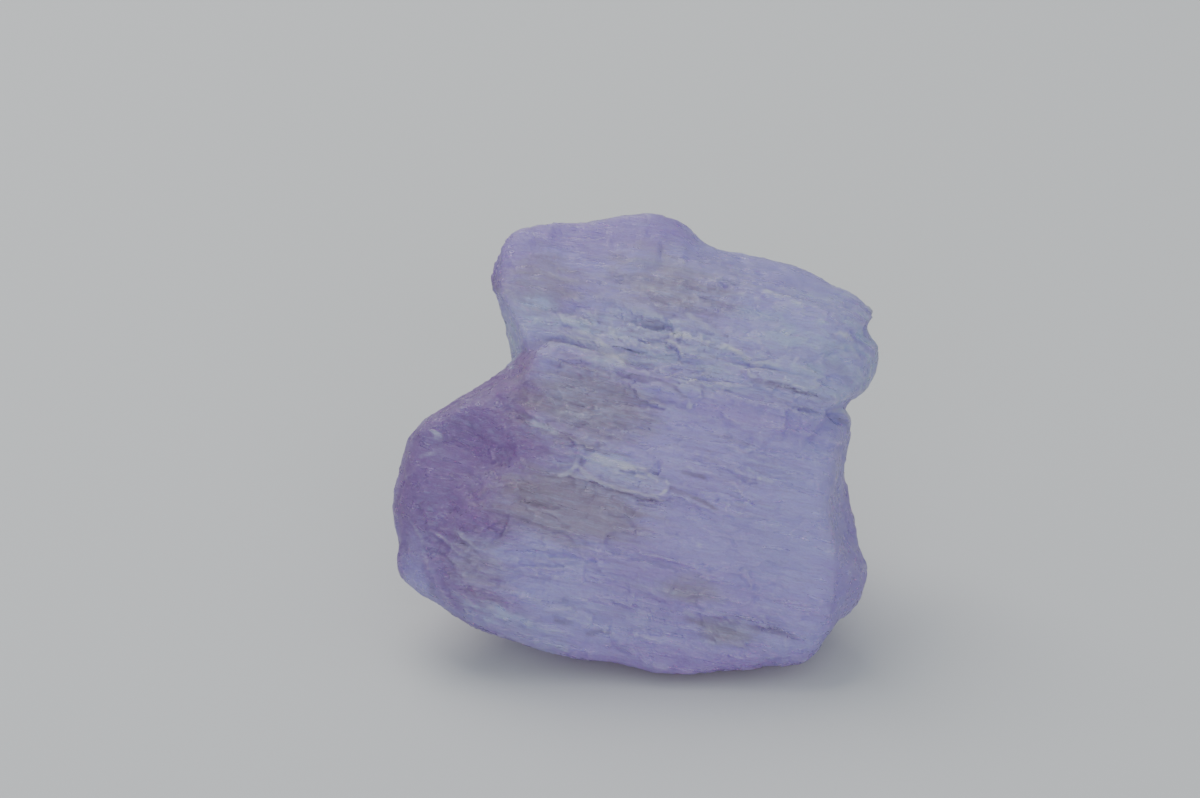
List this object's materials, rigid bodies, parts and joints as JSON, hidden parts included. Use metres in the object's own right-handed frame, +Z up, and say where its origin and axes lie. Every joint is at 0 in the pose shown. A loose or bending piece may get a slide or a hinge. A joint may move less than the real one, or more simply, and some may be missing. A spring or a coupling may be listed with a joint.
{
  "type": "rough kunzite crystal",
  "caption": "Splintery raw gem crystal fragment of offset slabs with fibrous ledges and broken ends, standing on a small flat break as a display or setting specimen.",
  "frame": {"origin": "on the flat resting face, straight below the point in the heart of the stone that it is built about", "axes": "+Z up, +X to the right seen from the front, -Y towards the viewer; the broad face looks towards -Y and leans back"},
  "size_m": [0.0305, 0.0196, 0.0242],
  "materials": {
    "kunzite": "translucent pale violet to lavender, frosted and fibrous on the breaks, with a few glassy spots"
  },
  "bodies": {
    "root": {"crystal": "kunzite"}
  },
  "joints": []
}
